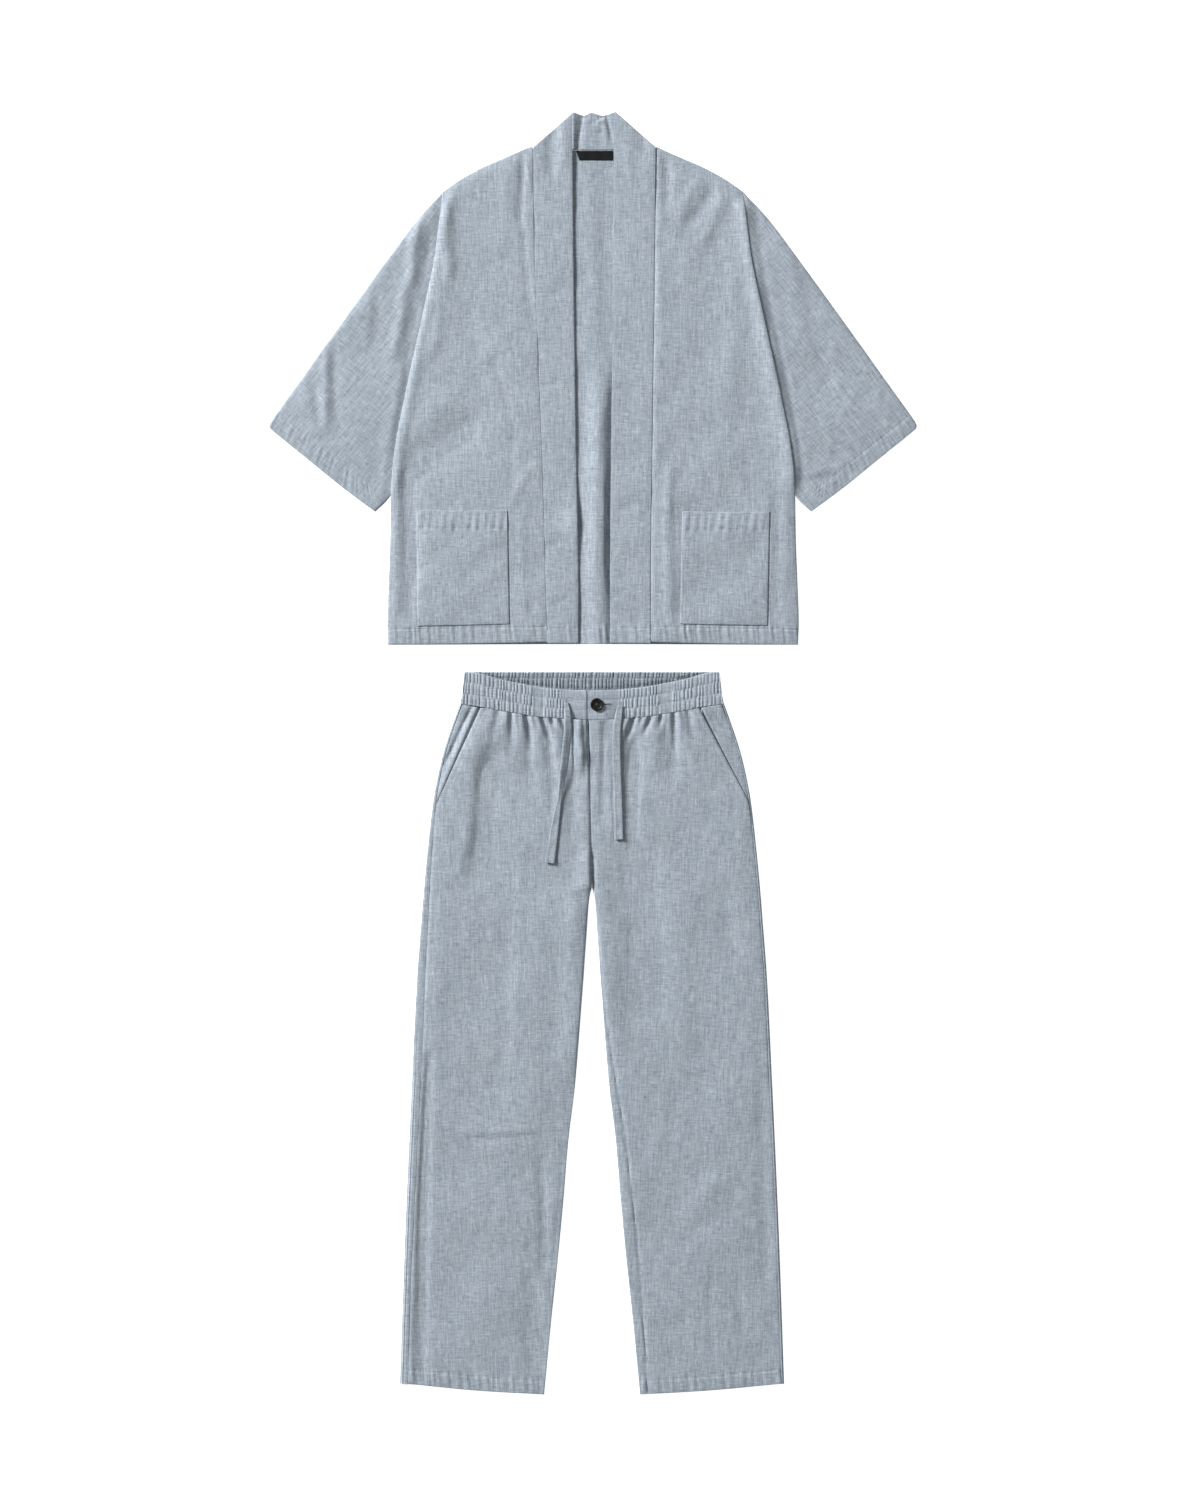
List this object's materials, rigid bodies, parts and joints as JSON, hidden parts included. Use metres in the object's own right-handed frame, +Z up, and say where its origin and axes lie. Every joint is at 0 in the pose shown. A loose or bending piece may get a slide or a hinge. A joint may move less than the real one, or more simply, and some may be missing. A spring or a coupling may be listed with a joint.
{
  "type": "kimono set",
  "caption": "Open kimono jacket with a long neckband and patch pockets, and straight drawstring trousers, in blue-grey slubbed cloth, laid flat face up",
  "frame": {"origin": "on the surface under the middle of the whole set", "axes": "+X towards the sleeve on the right as seen from above, +Y towards the collar, +Z up from the surface"},
  "size_m": [0.906, 1.795, 0.0114],
  "materials": {
    "cloth": "matte slubbed plain weave of linen and cotton, pale and dark flecks in both directions",
    "cloth_inside": "inside of the same cloth",
    "tape": "flat tape sewn from the same cloth",
    "label": "plain black woven satin, no lettering",
    "button": "dark four hole button with a soft gloss"
  },
  "bodies": {
    "root": {"jacket_back": "cloth_inside", "jacket_front_left": "cloth", "jacket_front_right": "cloth", "sleeve_left": "cloth", "sleeve_right": "cloth", "neckband_back": "cloth_inside", "neckband_left": "cloth", "neckband_right": "cloth", "neck_label": "label", "pocket_left": "cloth", "pocket_right": "cloth", "trouser_back_left": "cloth", "trouser_back_right": "cloth", "trouser_front_left": "cloth", "trouser_front_right": "cloth", "pocket_facing_left": "cloth", "pocket_facing_right": "cloth", "waistband_back": "cloth_inside", "waistband_front_left": "cloth", "waistband_front_right": "cloth", "drawstring_left": "tape", "drawstring_right": "tape", "button": "button"}
  },
  "joints": []
}
